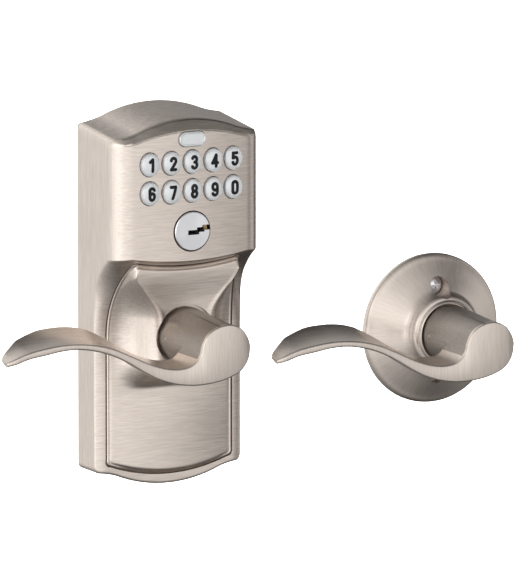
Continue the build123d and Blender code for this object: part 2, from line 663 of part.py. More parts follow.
# ---- the whole set ---------------------------------------------------------------------
nodes = {
    "exterior_housing": housing,
    "exterior_gasket": exterior_gasket,
    "exterior_plate": exterior_plate,
    "through_bolt_posts": through_bolt_posts,
    "housing_screws": housing_screws,
    "program_button": program_button,
    "keypad_membrane": keypad_membrane,
    "keypad_board": keypad_board,
    "control_board": control_board,
    "battery": battery,
    "battery_tray": battery_tray,
    "cylinder_body": cylinder_body,
    "cylinder_plug": cylinder_plug,
    "bottom_pins": lambda: pin_row(-6.1, -2.4, PIN_R),
    "driver_pins": lambda: pin_row(-10.6, -6.5, PIN_R),
    "pin_springs": pin_springs,
    "plug_clip": plug_clip,
    "tailpiece": tailpiece,
    "clutch_chassis": clutch_chassis,
    "clutch_motor": clutch_motor,
    "clutch_pinion": clutch_pinion,
    "clutch_slider": clutch_slider,
    "clutch_pin": clutch_pin,
    "exterior_spring_cage": lambda: spring_cage(0, 0, PLATE_FRONT + 0.1),
    "exterior_return_spring": lambda: return_spring(0, 0, PLATE_FRONT + 0.1),
    "exterior_tube": lambda: lever_tube(0, 0, EXT_BACK, 51.5, 5.0 + RUN, RING_DEPTH),
    "exterior_bushing": exterior_bushing,
    "exterior_retaining_ring": lambda: retaining_ring(0, 0, RING_DEPTH),
    "exterior_spindle": exterior_spindle,
    "exterior_lever": lambda: lever(0, 0, EXT_FRONT),
    "exterior_lever_catch": lambda: lever_catch(0, 0, EXT_FRONT),
    "interior_rose": interior_rose,
    "interior_plate": interior_plate,
    "interior_spring_cage": lambda: spring_cage(INT_X, INT_Z, 1.9),
    "interior_return_spring": lambda: return_spring(INT_X, INT_Z, 1.9),
    "interior_tube": lambda: lever_tube(INT_X, INT_Z, INT_BACK, 37.2, 5.65),
    "interior_bushing": interior_bushing,
    "interior_spindle_socket": interior_spindle_socket,
    "interior_lever": lambda: lever(INT_X, INT_Z, INT_FRONT),
    "interior_lever_catch": lambda: lever_catch(INT_X, INT_Z, INT_FRONT),
    "mounting_screws": mounting_screws,
}

for name, make in nodes.items():
    save(name, make())

for label, x, z in key_places():
    save("key_" + label, key(x, z))
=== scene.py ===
import bpy
import bmesh
import json
import math
import numpy as np
from mathutils import Matrix, Vector


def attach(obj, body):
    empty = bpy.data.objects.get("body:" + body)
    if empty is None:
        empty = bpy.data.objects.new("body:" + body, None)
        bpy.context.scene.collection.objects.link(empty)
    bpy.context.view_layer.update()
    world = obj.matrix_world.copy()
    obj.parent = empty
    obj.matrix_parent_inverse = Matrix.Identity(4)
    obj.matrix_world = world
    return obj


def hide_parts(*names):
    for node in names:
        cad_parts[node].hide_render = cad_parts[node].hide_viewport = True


# Keypad entry lever set.  Metres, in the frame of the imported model: X right, Y into the door,
# Z up, the lock faces -Y.  MM turns millimetres into metres.
MM = 0.001
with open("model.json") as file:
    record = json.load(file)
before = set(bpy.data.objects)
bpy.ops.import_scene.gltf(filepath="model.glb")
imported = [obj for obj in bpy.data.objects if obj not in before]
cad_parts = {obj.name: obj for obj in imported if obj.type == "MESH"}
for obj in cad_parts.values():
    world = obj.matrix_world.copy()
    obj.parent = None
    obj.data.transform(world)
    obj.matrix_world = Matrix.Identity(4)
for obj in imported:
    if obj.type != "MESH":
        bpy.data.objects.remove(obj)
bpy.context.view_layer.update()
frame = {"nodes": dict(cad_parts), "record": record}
nodes = frame["nodes"]
DIGITS = "1234567890"


# ---- materials ---------------------------------------------------------------------------
class Shade:
    """A node material under construction."""

    def __init__(self, name, colour, metallic, roughness):
        self.mat = bpy.data.materials.new(name)
        self.mat.use_nodes = True
        self.tree = self.mat.node_tree
        self.bsdf = self.tree.nodes["Principled BSDF"]
        self.bsdf.inputs["Base Color"].default_value = (*colour, 1)
        self.bsdf.inputs["Metallic"].default_value = metallic
        self.bsdf.inputs["Roughness"].default_value = roughness
        self.coords = self.node("ShaderNodeTexCoord").outputs["Object"]

    def node(self, kind, **settings):
        made = self.tree.nodes.new(kind)
        for key, value in settings.items():
            setattr(made, key, value)
        return made

    def link(self, a, b):
        self.tree.links.new(a, b)

    def noise(self, scale, detail=3.0, roughness=0.55, coords=None):
        """Noise over stretched object coordinates; scale is cycles per metre along X, Y, Z."""
        mapping = self.node("ShaderNodeMapping")
        mapping.inputs["Scale"].default_value = scale
        self.link(coords or self.coords, mapping.inputs["Vector"])
        tex = self.node("ShaderNodeTexNoise")
        tex.inputs["Scale"].default_value = 1.0
        tex.inputs["Detail"].default_value = detail
        tex.inputs["Roughness"].default_value = roughness
        self.link(mapping.outputs["Vector"], tex.inputs["Vector"])
        return tex.outputs["Fac"]

    def ranged(self, value, low, high, source=(0.3, 0.7)):
        node = self.node("ShaderNodeMapRange")
        node.inputs["From Min"].default_value = source[0]
        node.inputs["From Max"].default_value = source[1]
        node.inputs["To Min"].default_value = low
        node.inputs["To Max"].default_value = high
        self.link(value, node.inputs["Value"])
        return node.outputs["Result"]

    def mixed(self, factor, a, b):
        node = self.node("ShaderNodeMix", data_type="FLOAT")
        self.link(factor, node.inputs["Factor"])
        self.link(a, node.inputs["A"])
        self.link(b, node.inputs["B"])
        return node.outputs["Result"]

    def tint(self, value, dark, light):
        ramp = self.node("ShaderNodeMix", data_type="RGBA")
        ramp.inputs["A"].default_value = (*dark, 1)
        ramp.inputs["B"].default_value = (*light, 1)
        self.link(value, ramp.inputs["Factor"])
        self.link(ramp.outputs["Result"], self.bsdf.inputs["Base Color"])

    def bump(self, value, distance, strength=1.0):
        node = self.node("ShaderNodeBump")
        node.inputs["Distance"].default_value = distance
        node.inputs["Strength"].default_value = strength
        self.link(value, node.inputs["Height"])
        self.link(node.outputs["Normal"], self.bsdf.inputs["Normal"])

    def rough(self, value):
        self.link(value, self.bsdf.inputs["Roughness"])


FINE = 2600.0                # brush lines per metre across the grain
MEDIUM = 1500.0
ALONG = 110.0                # and along it
MEDIUM_SHARE = 0.4
SKEW = 0.3                   # how far the lines along X spread into the depth
LINE_RELIEF = 0.03           # millimetres
ROSE_SPOKES, ROSE_RINGS = 60.0, 160.0
NICKEL_DARK = (0.585, 0.517, 0.462)
NICKEL_LIGHT = (0.80, 0.715, 0.645)


def lined(shade, grain):
    """Fine and medium brush lines: along X on front and top faces, along Z on walls."""
    fine = {"x": (ALONG, FINE * SKEW, FINE), "z": (FINE, FINE, ALONG)}[grain]
    medium = {"x": (ALONG * 0.5, MEDIUM * SKEW, MEDIUM), "z": (MEDIUM, MEDIUM, ALONG * 0.5)}[grain]
    both = shade.node("ShaderNodeMix", data_type="FLOAT")
    both.inputs["Factor"].default_value = MEDIUM_SHARE
    shade.link(shade.noise(fine), both.inputs["A"])
    shade.link(shade.noise(medium), both.inputs["B"])
    return both.outputs["Result"]


def facing(shade, axis, low, high):
    """0 to 1 as the surface turns toward an axis of the object."""
    normal = shade.node("ShaderNodeTexCoord").outputs["Normal"]
    split = shade.node("ShaderNodeSeparateXYZ")
    shade.link(normal, split.inputs["Vector"])
    size = shade.node("ShaderNodeMath", operation="ABSOLUTE")
    shade.link(split.outputs[axis], size.inputs[0])
    return shade.ranged(size.outputs["Value"], 0.0, 1.0, (low, high))


def radial_lines(shade, x, z):
    """Lines that run outward from the axis at x, z (metres), for the turned rose."""
    split = shade.node("ShaderNodeSeparateXYZ")
    shade.link(shade.coords, split.inputs["Vector"])
    flat = shade.node("ShaderNodeCombineXYZ")
    for name, centre in (("X", x), ("Z", z)):
        minus = shade.node("ShaderNodeMath", operation="SUBTRACT")
        minus.inputs[1].default_value = centre
        shade.link(split.outputs[name], minus.inputs[0])
        shade.link(minus.outputs["Value"], flat.inputs[name])
    out = shade.node("ShaderNodeVectorMath", operation="NORMALIZE")
    shade.link(flat.outputs["Vector"], out.inputs[0])
    far = shade.node("ShaderNodeVectorMath", operation="LENGTH")
    shade.link(flat.outputs["Vector"], far.inputs[0])
    turn = shade.node("ShaderNodeVectorMath", operation="SCALE")
    turn.inputs["Scale"].default_value = ROSE_SPOKES
    shade.link(out.outputs["Vector"], turn.inputs[0])
    depth = shade.node("ShaderNodeCombineXYZ")
    stretch = shade.node("ShaderNodeMath", operation="MULTIPLY")
    stretch.inputs[1].default_value = ROSE_RINGS
    shade.link(far.outputs["Value"], stretch.inputs[0])
    shade.link(stretch.outputs["Value"], depth.inputs["Y"])
    total = shade.node("ShaderNodeVectorMath", operation="ADD")
    shade.link(turn.outputs["Vector"], total.inputs[0])
    shade.link(depth.outputs["Vector"], total.inputs[1])
    return shade.noise((1, 1, 1), coords=total.outputs["Vector"])


def brushed_nickel(name, grain, roughness, contrast=1.0, tone=1.0):
    """Satin nickel: brush lines in colour, gloss and relief, and faint uneven tone; a tone below 1 gives a
    darker copy, used as painted shade.
    """
    shade = Shade(name, NICKEL_LIGHT, 1.0, roughness)
    if grain == "casing":
        streak = shade.mixed(facing(shade, "X", 0.72, 0.94), lined(shade, "x"), lined(shade, "z"))
    elif grain == "lever":
        streak = shade.mixed(facing(shade, "Y", 0.6, 0.9), lined(shade, "x"), lined(shade, "z"))
    else:
        streak = radial_lines(shade, INT_X * MM, INT_Z * MM)
    dark = tuple(c * tone for c in NICKEL_DARK)
    light = tuple(c * tone for c in NICKEL_LIGHT)
    half = 0.5 * contrast
    shade.tint(shade.ranged(streak, 0.5 - half, 0.5 + half, (0.34, 0.66)), dark, light)
    smudge = shade.ranged(shade.noise((30, 30, 30), detail=4.0), -0.02, 0.03)
    add = shade.node("ShaderNodeMath", operation="ADD")
    shade.link(shade.ranged(streak, roughness - 0.04, roughness + 0.05), add.inputs[0])
    shade.link(smudge, add.inputs[1])
    shade.rough(add.outputs["Value"])
    shade.bump(streak, LINE_RELIEF * MM, 0.5)
    return shade.mat


def plain_metal(name, colour, roughness, grit=900.0, depth=0.01):
    """Bare metal with fine grit and a faint cloudiness; depth is the grit's relief in millimetres."""
    shade = Shade(name, colour, 1.0, roughness)
    grain = shade.noise((grit, grit, grit), detail=4.0)
    cloud = shade.noise((60, 60, 60))
    dark = tuple(c * 0.86 for c in colour)
    light = tuple(min(c * 1.1, 1.0) for c in colour)
    shade.tint(shade.ranged(cloud, 0.0, 1.0), dark, light)
    shade.rough(shade.ranged(grain, roughness - 0.06, roughness + 0.08))
    shade.bump(grain, depth * MM, 0.5)
    return shade.mat


def moulded(name, colour, roughness, grit=1400.0, metallic=0.0, coat=0.0, spread=0.1):
    """Moulded or painted surface with fine grit; spread is how much its colour varies."""
    shade = Shade(name, colour, metallic, roughness)
    shade.bsdf.inputs["Coat Weight"].default_value = coat
    grain = shade.noise((grit, grit, grit), detail=5.0)
    cloud = shade.noise((140, 140, 140))
    dark = tuple(c * (1 - spread) for c in colour)
    light = tuple(min(c * (1 + spread), 1.0) for c in colour)
    shade.tint(shade.ranged(cloud, 0.0, 1.0), dark, light)
    shade.rough(shade.ranged(grain, roughness - 0.05, roughness + 0.07))
    shade.bump(grain, 0.012 * MM, 0.5)
    return shade.mat


INT_X, INT_Z = 135.0, -12.4            # axis of the inside lever, millimetres
EXT_FRONT, INT_FRONT = 70.0, 55.7      # depth of each lever's front face
casing_nickel = brushed_nickel("casing_nickel", "casing", 0.36)
# Darker copy of the nickel for the panel's groove: painted shade; its higher roughness is real.
groove_painted_shade = brushed_nickel("groove_painted_shade", "casing", 0.5, tone=0.55)
face_nickel = brushed_nickel("lever_nickel", "lever", 0.33, contrast=0.8)
# Darker copy of the lever nickel: painted shade on the hub's sides.
hub_painted_shade = brushed_nickel("hub_painted_shade", "lever", 0.36, contrast=0.9, tone=0.48)
rose_nickel = brushed_nickel("rose_nickel", "radial", 0.33, contrast=0.45)
steel = plain_metal("zinc_steel", (0.56, 0.56, 0.57), 0.38)
spring_steel = plain_metal("spring_steel", (0.40, 0.40, 0.42), 0.28)
cylinder_steel = plain_metal("cylinder_face", (0.80, 0.80, 0.82), 0.36, grit=2400.0)
brass = plain_metal("machined_brass", (0.34, 0.25, 0.13), 0.40)
key_cap = moulded("key_cap_silver", (0.42, 0.43, 0.435), 0.34, grit=2600.0, metallic=0.5, coat=0.25,
                  spread=0.04)
ink = moulded("digit_ink", (0.006, 0.006, 0.007), 0.6)
ink.node_tree.nodes["Principled BSDF"].inputs["Specular IOR Level"].default_value = 0.15
rubber = moulded("black_rubber", (0.03, 0.03, 0.032), 0.75)
board = moulded("green_board", (0.03, 0.16, 0.08), 0.45)
nylon = moulded("white_nylon", (0.78, 0.77, 0.72), 0.5)
battery_wrap = moulded("battery_sleeve", (0.05, 0.055, 0.07), 0.35, coat=0.2)

FINISH = {
    "nickel": casing_nickel, "key_caps": key_cap, "cylinder_face": cylinder_steel, "steel": steel,
    "spring_steel": spring_steel, "brass": brass, "rubber": rubber, "circuit_board": board,
    "nylon": nylon, "battery_case": battery_wrap,
}

slot_of = {entry["node"]: entry["material_slot"] for entry in frame["record"]["subparts"]}
for name, obj in nodes.items():
    obj.data.materials.clear()
    obj.data.materials.append(FINISH[slot_of[name]])


# ---- mesh helpers ------------------------------------------------------------------------
def add_mesh(name, verts, faces, material):
    """New mesh object in the scene, in metres."""
    mesh = bpy.data.meshes.new(name)
    mesh.from_pydata([tuple(v) for v in verts], [], faces)
    mesh.update()
    obj = bpy.data.objects.new(name, mesh)
    bpy.context.scene.collection.objects.link(obj)
    mesh.materials.append(material)
    return obj


def tidy_mesh(obj, smooth_angle=35.0):
    """Joins doubled points, turns the faces outward and shades smooth up to an angle."""
    bm = bmesh.new()
    bm.from_mesh(obj.data)
    bmesh.ops.remove_doubles(bm, verts=bm.verts, dist=0.002 * MM)
    bmesh.ops.recalc_face_normals(bm, faces=bm.faces)
    limit = math.radians(smooth_angle)
    for face in bm.faces:
        face.smooth = True
    for edge in bm.edges:
        edge.smooth = len(edge.link_faces) == 2 and edge.calc_face_angle() < limit
    bm.to_mesh(obj.data)
    bm.free()


def boolean(target, tool, operation):
    """Applies the tool to the target and removes it."""
    modifier = target.modifiers.new(operation, "BOOLEAN")
    modifier.operation = operation
    modifier.solver = "EXACT"
    modifier.object = tool
    graph = bpy.context.evaluated_depsgraph_get()
    mesh = bpy.data.meshes.new_from_object(target.evaluated_get(graph))
    target.modifiers.clear()
    target.data = mesh
    bpy.data.objects.remove(tool)


def lathe(name, profile, material, steps=160):
    """A closed profile of (radius, depth) turned about the depth axis; depth runs to -Y."""
    verts = []
    for i in range(steps):
        a = 2 * math.pi * i / steps
        for r, d in profile:
            verts.append((r * math.cos(a) * MM, -d * MM, r * math.sin(a) * MM))
    n = len(profile)
    faces = []
    for i in range(steps):
        k = (i + 1) % steps
        for j in range(n):
            m = (j + 1) % n
            faces.append((i * n + j, k * n + j, k * n + m, i * n + m))
    obj = add_mesh(name, verts, faces, material)
    tidy_mesh(obj)
    return obj


def rod(name, radius, start, end, steps=48):
    """Plain cutting rod between two points, in millimetres."""
    a, b = Vector(start) * MM, Vector(end) * MM
    axis = (b - a).normalized()
    u = axis.orthogonal().normalized()
    v = axis.cross(u)
    verts = []
    for centre in (a, b):
        for i in range(steps):
            t = 2 * math.pi * i / steps
            verts.append(centre + (u * math.cos(t) + v * math.sin(t)) * radius * MM)
    faces = [tuple(range(steps)), tuple(range(steps, 2 * steps))]
    for i in range(steps):
        k = (i + 1) % steps
        faces.append((i, k, steps + k, steps + i))
    obj = add_mesh(name, verts, faces, steel)
    tidy_mesh(obj)
    return obj


def flow(points, count):
    """Smooth curve through points (Catmull-Rom by chord length), sampled count times."""
    pts = [np.array(p, float) for p in points]
    pts = [2 * pts[0] - pts[1]] + pts + [2 * pts[-1] - pts[-2]]
    knots = [0.0]
    for a, b in zip(pts, pts[1:]):
        knots.append(knots[-1] + math.sqrt(np.linalg.norm(b - a)))
    out = []
    for t in np.linspace(knots[1], knots[-2], count):
        k = min(max(int(np.searchsorted(knots, t, side="right")) - 1, 1), len(pts) - 3)
        p, q = pts[k - 1:k + 3], knots[k - 1:k + 3]
        a1 = (p[0] * (q[1] - t) + p[1] * (t - q[0])) / (q[1] - q[0])
        a2 = (p[1] * (q[2] - t) + p[2] * (t - q[1])) / (q[2] - q[1])
        a3 = (p[2] * (q[3] - t) + p[3] * (t - q[2])) / (q[3] - q[2])
        b1 = (a1 * (q[2] - t) + a2 * (t - q[0])) / (q[2] - q[0])
        b2 = (a2 * (q[3] - t) + a3 * (t - q[1])) / (q[3] - q[1])
        out.append((b1 * (q[2] - t) + b2 * (t - q[1])) / (q[2] - q[1]))
    return out


# ---- housing -----------------------------------------------------------------------------
# Millimetres.  A depth is how far a surface stands in front of the door face.
HALF_WIDTH, TOP_Z, BOTTOM_Z = 35.0, 96.8, -65.7
ARCH_R, SHOULDER_R, CORNER_R = 62.0, 31.5, 2.5
BACK_DEPTH = 1.0
BORDER_DEPTH, SWEEP_R, SMILE_SAG, SMILE_HALF = 17.4, 42.0, 3.2, 27.5
SWEEP_REACH = 0.985          # share of the sweep's radius that it climbs
FACE_DEPTH, FACE_CROWN_R = 38.6, 236.0
ROOF_SLOPE, BEVEL_START, BEVEL_SLOPE = 0.105, 34.4, 0.95
PANEL_HALF, PANEL_TOP_HALF = 30.4, 25.6
PANEL_TOP_Z, PANEL_TOP_SAG = 34.1, 2.5
PANEL_BOTTOM_Z, PANEL_SHOULDER_Z = -61.6, -55.6
PAD_DEPTH, PAD_HALF, PAD_RISE, PANEL_CROWN = 33.0, 14.6, 1.6, 3.0
COVE_POWER = 2.8             # hollowness of the pad's flanks
# Bead and groove around the lower panel: (distance inside its outline, half width, height).
BEAD, GROOVE = (1.25, 0.55, 0.3), (0.45, 0.36, -1.0)
CREASE = (0.25, 0.4, -0.3)   # groove along the roof's front edge: the same, measured down from it
CYL_Z, CYL_FACE_R = 46.1, 8.3
DRUM_R, RECESS_R = 11.3, 13.9
KEY_PITCH_X, KEY_ROW_Z, KEY_HALF = 9.85, (75.8, 63.5), (4.2, 5.0)
BADGE_Z, BADGE_SIZE = 85.5, (12.5, 6.1)


def smooth(t):
    t = min(max(t, 0.0), 1.0)
    return t * t * (3 - 2 * t)


def soft_min(a, b, width):
    """Smaller of two values, with the crease between them rounded over width."""
    h = min(max(0.5 + 0.5 * (b - a) / width, 0.0), 1.0)
    return b * (1 - h) + a * h - width * h * (1 - h) * 0.5


def rounding(distance, radius):
    """How far a rounded edge falls back at a distance from it."""
    if distance >= radius:
        return 0.0
    return radius - math.sqrt(max(radius ** 2 - (radius - distance) ** 2, 0.0))


def arch_height(x, crown, sign):
    """Bracket-shaped arch: convex middle, concave shoulders, rounded outer corners."""
    reach = ARCH_R + SHOULDER_R
    turn = math.asin(HALF_WIDTH / reach)
    centre = crown - sign * ARCH_R
    a = min(abs(x), HALF_WIDTH)
    if a < ARCH_R * math.sin(turn):
        z = centre + sign * math.sqrt(ARCH_R ** 2 - a ** 2)
    else:
        shoulder = centre + sign * reach * math.cos(turn)
        z = shoulder - sign * math.sqrt(SHOULDER_R ** 2 - (HALF_WIDTH - a) ** 2)
    return z - sign * rounding(HALF_WIDTH - a, CORNER_R)


def arc_height(x, half, edge_z, middle_z):
    """Height at x of the arc through (-half, edge_z), (0, middle_z), (half, edge_z)."""
    rise = middle_z - edge_z
    radius = (half ** 2 + rise ** 2) / (2 * abs(rise))
    sign = 1 if rise > 0 else -1
    return middle_z - sign * (radius - math.sqrt(radius ** 2 - min(x * x, (radius * 0.95) ** 2)))


def panel_half(z):
    if z <= 0:
        return PANEL_HALF
    t = min(z / PANEL_TOP_Z, 1.0)
    return PANEL_HALF - (PANEL_HALF - PANEL_TOP_HALF) * t ** 2


def panel_inset(x, z):
    """Distance inward from the panel's outline, negative outside it."""
    side = panel_half(z) - abs(x)
    top = arc_height(x, PANEL_TOP_HALF, PANEL_TOP_Z, PANEL_TOP_Z - PANEL_TOP_SAG) - z
    bottom = z - arc_height(x, PANEL_HALF, PANEL_SHOULDER_Z, PANEL_BOTTOM_Z)
    return soft_min(side, min(top, bottom), 2.2)


def smile(x):
    """How far the sweep under the keypad block sags toward the middle."""
    return SMILE_SAG * max(0.0, 1 - (x / SMILE_HALF) ** 2)


def face_depth(x):
    """Slightly crowned front of the keypad block."""
    return FACE_DEPTH - x * x / (2 * FACE_CROWN_R)


def sweep_depth(x, z):
    """The border, and above it the concave sweep up to the keypad block."""
    sag = smile(x)
    rise = min(max(z + sag, 0.0), SWEEP_R * SWEEP_REACH)
    return BORDER_DEPTH + SWEEP_R - math.sqrt(SWEEP_R ** 2 - rise ** 2)


def panel_depth(x, z):
    """Raised pad for the lever with coved flanks, fading out below."""
    frame_depth = min(sweep_depth(x, z), PAD_DEPTH + 2.5)
    edge = panel_half(z)
    spread = PAD_HALF + (edge - PAD_HALF) * smooth((z - 8) / 27)
    t = max((edge - abs(x)) / max(edge - spread, 0.5), 0.0)
    t = soft_min(t, 1.0, 0.3)
    fade = smooth((z + 24) / 13)
    crown = PANEL_CROWN * (1 - min(1.0, (x / edge) ** 2)) * (1 - smooth((z + 40) / 40))
    lift = max(PAD_DEPTH + PAD_RISE * smooth((z - 14) / 16) - frame_depth, 0.0)
    return frame_depth + crown + lift * fade * t ** COVE_POWER + 0.2


def swell(value, centre, half):
    """Smooth bump of height 1 and the given half width."""
    t = abs(value - centre) / half
    return (1 - t * t) ** 2 if t < 1 else 0.0


def roof_edge(x):
    """Height of the roof's front edge, where the bevel starts."""
    return arch_height(x, TOP_Z, 1) - ROOF_SLOPE * BEVEL_START


def casing_depth(x, z):
    """Front surface of the housing: face, bevel, sweep, frame, panel line and rounded edges."""
    depth = face_depth(x)
    bevel = BEVEL_START + (roof_edge(x) - z) / BEVEL_SLOPE
    edge = roof_edge(x) - BEVEL_SLOPE * (depth - BEVEL_START)
    depth = soft_min(depth, bevel, 0.5) + CREASE[2] * swell(z, edge - CREASE[0], CREASE[1])
    depth = soft_min(depth, sweep_depth(x, z), 0.9)
    inset = panel_inset(x, z)
    if inset > -0.5:
        inner = panel_depth(x, z)
        depth = depth + (inner - depth) * smooth((inset - 0.9) / 2.0)
        depth += sum(height * swell(inset, centre, half) for centre, half, height in (BEAD, GROOVE))
    block = smooth((z - 2) / 24)
    depth -= (0.35 + 0.65 * block) * rounding(HALF_WIDTH - abs(x), 5.4 + 2.6 * block)
    depth -= rounding(z - arch_height(x, BOTTOM_Z, -1), 1.2)
    return depth


def ramp(start, end, count, bias=1.0):
    """count values from start toward end, without end itself."""
    return [start + (end - start) * (i / count) ** bias for i in range(count)]


# Grid lines across: (zone, place in zone), from the edge to the middle.  The dense zone along the
# panel's outline starts LINE_MARGIN outside it and is LINE_ZONE wide.
LINE_MARGIN, LINE_ZONE = 0.6, 3.4
ZONES = [("rim", t) for t in ramp(0, 1, 18, 1.6)] + [("line", q) for q in ramp(0, LINE_ZONE, 24)]
ZONES += [("field", t) for t in ramp(0, 1, 34)]


def column_x(zone, place, z):
    line = panel_half(z) + LINE_MARGIN
    if zone == "rim":
        return HALF_WIDTH - place * (HALF_WIDTH - line)
    if zone == "line":
        return line - place
    return (line - LINE_ZONE) * (1 - place)


def row_levels(x):
    """Heights of the grid lines at x, from the bottom arch to the roof's front edge."""
    low = arch_height(x, BOTTOM_Z, -1)
    panel_low = arc_height(x, PANEL_HALF, PANEL_SHOULDER_Z, PANEL_BOTTOM_Z) - LINE_MARGIN
    panel_high = arc_height(x, PANEL_TOP_HALF, PANEL_TOP_Z, PANEL_TOP_Z - PANEL_TOP_SAG) + LINE_MARGIN
    panel_low = max(panel_low, low + 1.4)
    crease = math.sqrt(SWEEP_R ** 2 - (SWEEP_R + BORDER_DEPTH - face_depth(x)) ** 2) - smile(x)
    crease = max(crease, panel_high + 0.6)
    top = roof_edge(x)
    rows = ramp(low, panel_low, 10, 1.5)
    marks = [(panel_low, 24), (panel_low + LINE_ZONE, 120), (panel_high - LINE_ZONE, 24), (panel_high, 4),
             (crease - 0.5, 8), (crease + 1.2, 50), (top - 6.0, 24), (top - 2.5, 5)]
    for (start, count), (end, _) in zip(marks, marks[1:] + [(top, 0)]):
        rows += ramp(start, end, count)
    return rows + [top]


def front_grid():
    """Points of the front surface, row by row from the bottom, columns from left to right."""
    sides = [(-1, zone, place) for zone, place in ZONES] + [(1, "field", 1.0)]
    sides += [(1, zone, place) for zone, place in reversed(ZONES)]
    grid = []
    for side, zone, place in sides:
        x = [side * column_x(zone, place, 0.0)] * len(row_levels(0.0))
        for _ in range(3):   # x and z depend on each other and settle in three passes
            z = [row_levels(xx)[j] for j, xx in enumerate(x)]
            x = [side * column_x(zone, place, zz) for zz in z]
        grid.append([(xx, casing_depth(xx, zz), zz) for xx, zz in zip(x, z)])
    return [list(row) for row in zip(*grid)]


WALL_STEPS = 10              # rows of faces from the front surface back to the door


def casing_mesh():
    """The housing's outside as one closed mesh: front grid, roof, walls, floor and back."""
    grid = front_grid()
    rows, columns = len(grid), len(grid[0])
    verts = [p for row in grid for p in row]
    faces = []
    for j in range(rows - 1):
        for i in range(columns - 1):
            a = j * columns + i
            faces.append((a, a + 1, a + columns + 1, a + columns))
    loop = list(range(columns))
    loop += [j * columns + columns - 1 for j in range(1, rows)]
    loop += [(rows - 1) * columns + i for i in range(columns - 2, -1, -1)]
    loop += [j * columns for j in range(rows - 2, 0, -1)]
    last = loop
    for k in range(1, WALL_STEPS + 1):
        ring = []
        for index in loop:
            x, d, z = verts[index]
            depth = d + (BACK_DEPTH - d) * k / WALL_STEPS
            if index >= (rows - 1) * columns:
                z += ROOF_SLOPE * (d - depth)
            ring.append(len(verts))
            verts.append((x, depth, z))
        for m in range(len(loop)):
            n = (m + 1) % len(loop)
            faces.append((last[m], ring[m], ring[n], last[n]))
        last = ring
    faces.append(tuple(last))
    obj = add_mesh("housing_shell", [(x * MM, -d * MM, z * MM) for x, d, z in verts], faces, casing_nickel)
    tidy_mesh(obj, 40)
    return obj


def column_solid(name, stations):
    """Closed loft through rectangles (x, depth back, depth front, z low, z high)."""
    verts, faces = [], []
    for x, d0, d1, z0, z1 in stations:
        verts += [(x * MM, -d0 * MM, z0 * MM), (x * MM, -d1 * MM, z0 * MM), (x * MM, -d1 * MM, z1 * MM),
                  (x * MM, -d0 * MM, z1 * MM)]
    for i in range(len(stations) - 1):
        for j in range(4):
            k = (j + 1) % 4
            faces.append((4 * i + j, 4 * i + 4 + j, 4 * i + 4 + k, 4 * i + k))
    faces += [(0, 1, 2, 3), tuple(range(len(verts) - 4, len(verts)))]
    obj = add_mesh(name, verts, faces, steel)
    tidy_mesh(obj)
    return obj


def rod_group(name, rods):
    """Several separate cutting prisms as one mesh; each is (outline function, x, z, d0, d1)."""
    verts, faces = [], []
    for outline, x, z, d0, d1 in rods:
        start = len(verts)
        ring = outline()
        n = len(ring)
        for depth in (d0, d1):
            verts += [((x + u) * MM, -depth * MM, (z + w) * MM) for u, w in ring]
        faces += [tuple(range(start, start + n)), tuple(range(start + n, start + 2 * n))]
        for i in range(n):
            k = (i + 1) % n
            faces.append((start + i, start + k, start + n + k, start + n + i))
    obj = add_mesh(name, verts, faces, casing_nickel)
    tidy_mesh(obj)
    return obj


def oval(a, b, steps=64):
    """Outline function of an ellipse with half axes a and b."""
    return lambda: [(a * math.cos(2 * math.pi * i / steps), b * math.sin(2 * math.pi * i / steps))
                    for i in range(steps)]


def pill(width, height, steps=16):
    """Outline function of a slot shape."""
    r, reach = height / 2, (width - height) / 2
    angles = [math.pi * (i / steps - 0.5) for i in range(steps + 1)]
    right = [(reach + r * math.cos(a), r * math.sin(a)) for a in angles]
    return lambda: right + [(-x, -z) for x, z in right]


def key_places():
    for i, digit in enumerate(DIGITS):
        yield digit, (i % 5 - 2) * KEY_PITCH_X, KEY_ROW_Z[i // 5]


GROOVE_SHADE_SPAN = (0.22, 0.68)   # distances inside the panel's outline between which the groove gets painted shade


def paint_groove_shade(obj):
    """Paints shade into the groove around the panel: a darker copy of the nickel as painted shade, also
    rougher.
    """
    obj.data.materials.append(groove_painted_shade)
    for face in obj.data.polygons:
        x, y, z = (c / MM for c in face.center)
        beside = -y > BORDER_DEPTH - 3 and PANEL_BOTTOM_Z - 1 < z < PANEL_TOP_Z + 1
        if beside and GROOVE_SHADE_SPAN[0] < panel_inset(x, z) < GROOVE_SHADE_SPAN[1]:
            face.material_index = 1


WALL = 2.6
# Screw bosses inside the housing: (x, z, depth of their front end).
BOSS_PLACES = ((-24.5, -47.0, 14.6), (24.5, -47.0, 14.6), (-29.2, 79.0, 33.4), (29.2, 79.0, 33.4))


